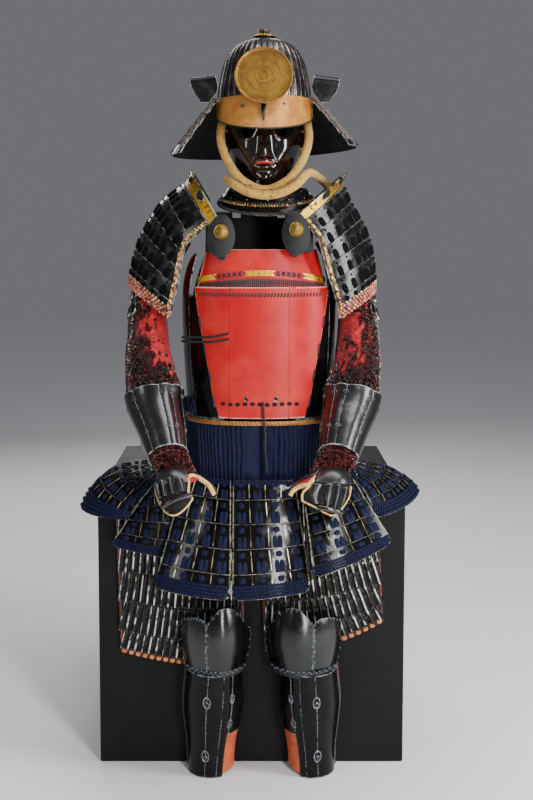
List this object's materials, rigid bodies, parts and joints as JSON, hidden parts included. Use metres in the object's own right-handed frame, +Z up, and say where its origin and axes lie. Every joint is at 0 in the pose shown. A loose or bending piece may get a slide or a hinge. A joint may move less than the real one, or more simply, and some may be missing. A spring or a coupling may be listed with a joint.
{
  "type": "samurai armour on display stand",
  "caption": "Full Japanese armour with ribbed helmet, face mask, laced shoulder guards, tassets, red cuirass and shin guards, on a box plinth with a head block.",
  "frame": {"origin": "on the floor, on the plinth's underside, under the armour's middle plane as displayed", "axes": "+Z up, -Y the way the armour faces, +X to the right as seen from the front"},
  "size_m": [0.723, 0.7745, 1.5498],
  "materials": {
    "black_lacquer": "glossy black lacquer on plates",
    "black_paint": "satin black paint",
    "brown_lacquer": "glossy brown-black lacquer",
    "cream_cord": "padded cream cord",
    "gilt_leather": "gilded leather",
    "matt_leather": "matt dark leather",
    "navy_lacing": "navy silk lacing",
    "orange_leather": "orange-brown leather",
    "red_cloth": "red cloth with mail",
    "red_lacquer": "worn red lacquer",
    "russet_iron": "dark russet iron",
    "worn_gilt": "worn gilding"
  },
  "bodies": {
    "root": {"ankle_leather_left": "orange_leather", "ankle_leather_right": "orange_leather", "back_plate": "black_lacquer", "boss_left": "worn_gilt", "boss_right": "worn_gilt", "chest_band": "worn_gilt", "chin_cord_loop": "cream_cord", "chin_cord_tie": "cream_cord", "cord_curtain": "navy_lacing", "crest_disc": "worn_gilt", "crest_holder": "russet_iron", "crown_fitting": "russet_iron", "forearm_guard_left": "black_lacquer", "forearm_guard_right": "black_lacquer", "front_panel": "red_lacquer", "front_thong": "matt_leather", "hand_guard_left": "black_lacquer", "hand_guard_right": "black_lacquer", "helmet_bowl": "russet_iron", "knee_guard_left": "black_lacquer", "knee_guard_right": "black_lacquer", "leaf_pad_left": "matt_leather", "leaf_pad_right": "matt_leather", "mask": "brown_lacquer", "neck_guard": "black_lacquer", "peak": "gilt_leather", "plinth": "black_paint", "shin_cloth_left": "red_cloth", "shin_cloth_right": "red_cloth", "shin_guard_left": "black_lacquer", "shin_guard_right": "black_lacquer", "shoulder_strap_left": "matt_leather", "shoulder_strap_right": "matt_leather", "side_plate_left": "black_lacquer", "side_plate_right": "black_lacquer", "side_thong_lower": "matt_leather", "side_thong_upper": "matt_leather", "sleeve_left": "red_cloth", "sleeve_right": "red_cloth", "sode_left": "black_lacquer", "sode_plate_left": "worn_gilt", "sode_plate_right": "worn_gilt", "sode_right": "black_lacquer", "stand_frame": "black_paint", "stand_head_block": "black_paint", "tasset_back": "navy_lacing", "tasset_fore_left": "navy_lacing", "tasset_fore_right": "navy_lacing", "tasset_front_left": "navy_lacing", "tasset_front_right": "navy_lacing", "tasset_side_left": "navy_lacing", "tasset_side_right": "navy_lacing", "thigh_guard_left": "matt_leather", "thigh_guard_right": "matt_leather", "throat_guard": "black_lacquer", "turnback_left": "black_lacquer", "turnback_right": "black_lacquer", "upper_chest_plate": "red_lacquer", "waist_rim": "gilt_leather"}
  },
  "joints": []
}
